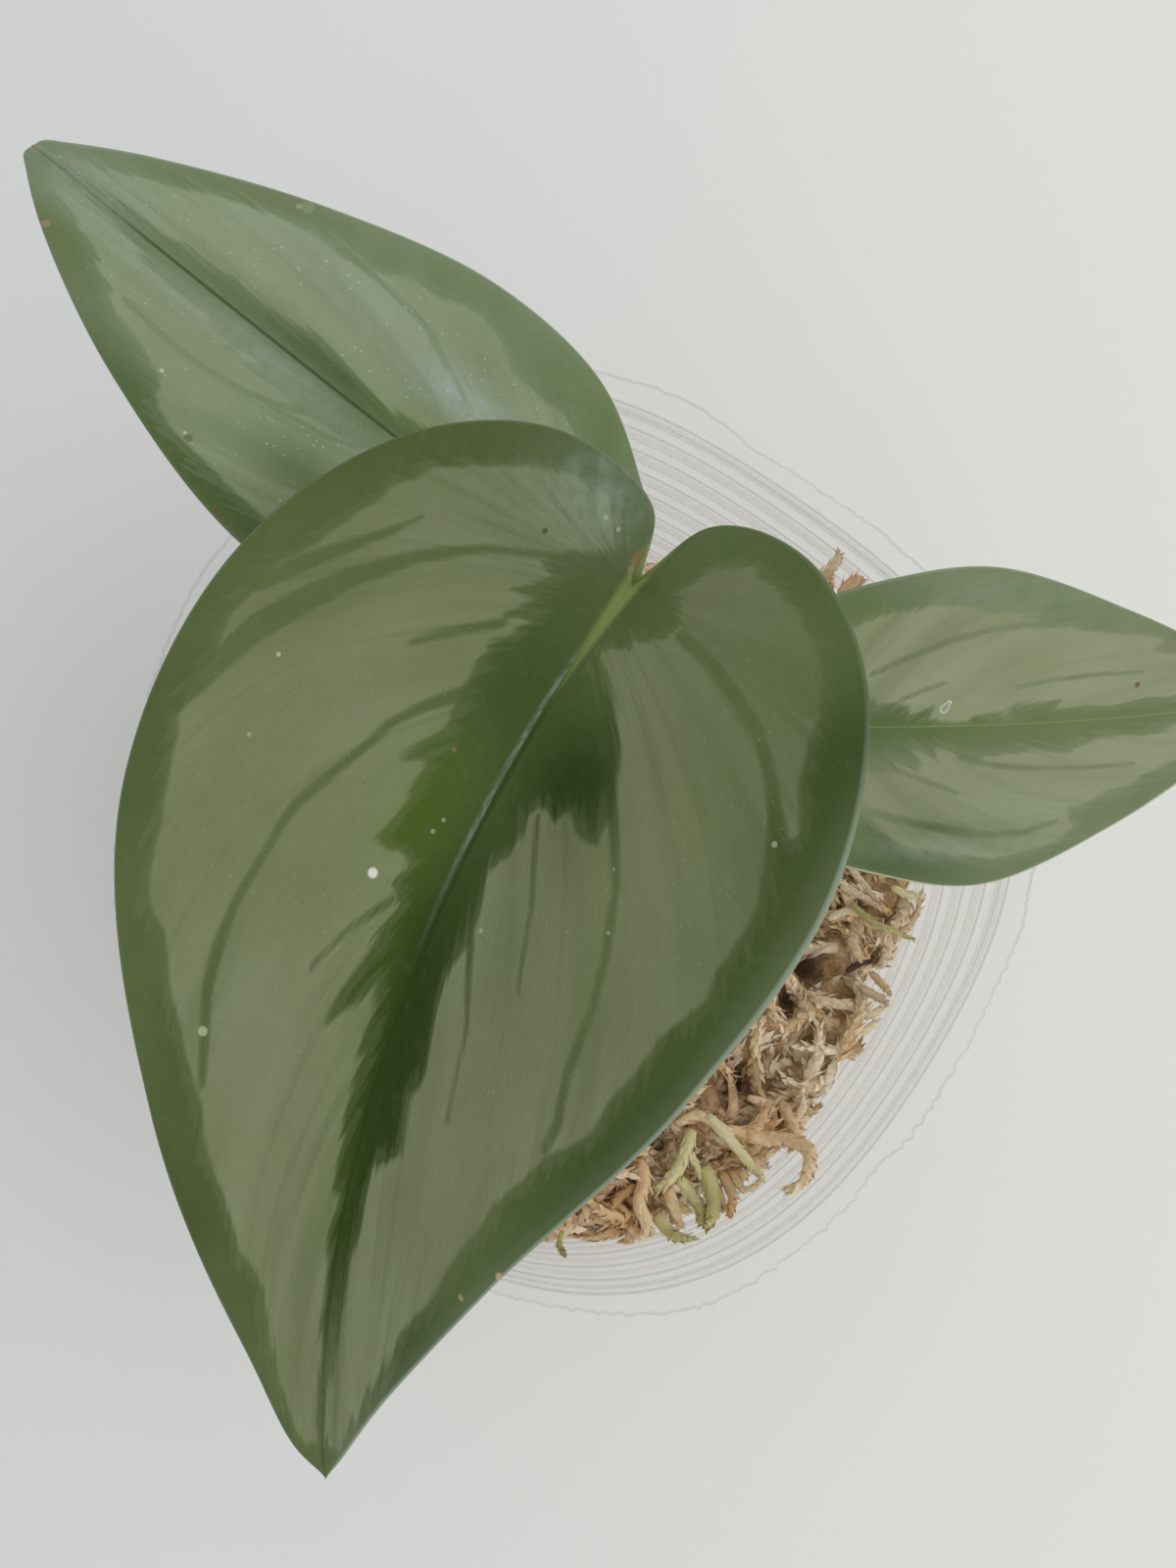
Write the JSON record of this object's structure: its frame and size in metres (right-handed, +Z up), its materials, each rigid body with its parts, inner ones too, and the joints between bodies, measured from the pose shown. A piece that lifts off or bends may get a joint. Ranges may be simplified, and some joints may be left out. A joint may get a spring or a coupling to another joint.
{
  "type": "potted moonlight scindapsus",
  "caption": "Young silver-leaved scindapsus: three heart-shaped leaves on a short vine stem, in dry moss in a clear ribbed cup with a cut edge.",
  "frame": {"origin": "centre of the cup's flat base, on the surface it stands on", "axes": "+Z up along the cup's axis; +Y to the far side as the plant is usually seen, -Y towards the front leaf's tip, +X towards the right leaf"},
  "size_m": [0.1451, 0.1351, 0.1576],
  "materials": {
    "clear_cup": "clear, slightly hazed, gloss",
    "dry_moss": "dry fibre, matt",
    "green_moss": "live fibre, matt",
    "rust_moss": "dead fibre, matt",
    "stem_skin": "satin, slightly rough",
    "petiole_skin": "satin",
    "silver_leaf": "satin with a soft silver sheen"
  },
  "bodies": {
    "root": {"cup": "clear_cup", "moss_plug": "dry_moss", "moss_sprig_green": "green_moss", "moss_sprig_rust": "rust_moss", "stem": "stem_skin", "petiole_front": "petiole_skin", "petiole_left": "petiole_skin", "petiole_right": "petiole_skin", "leaf_front": "silver_leaf", "leaf_left": "silver_leaf", "leaf_right": "silver_leaf"}
  },
  "joints": []
}
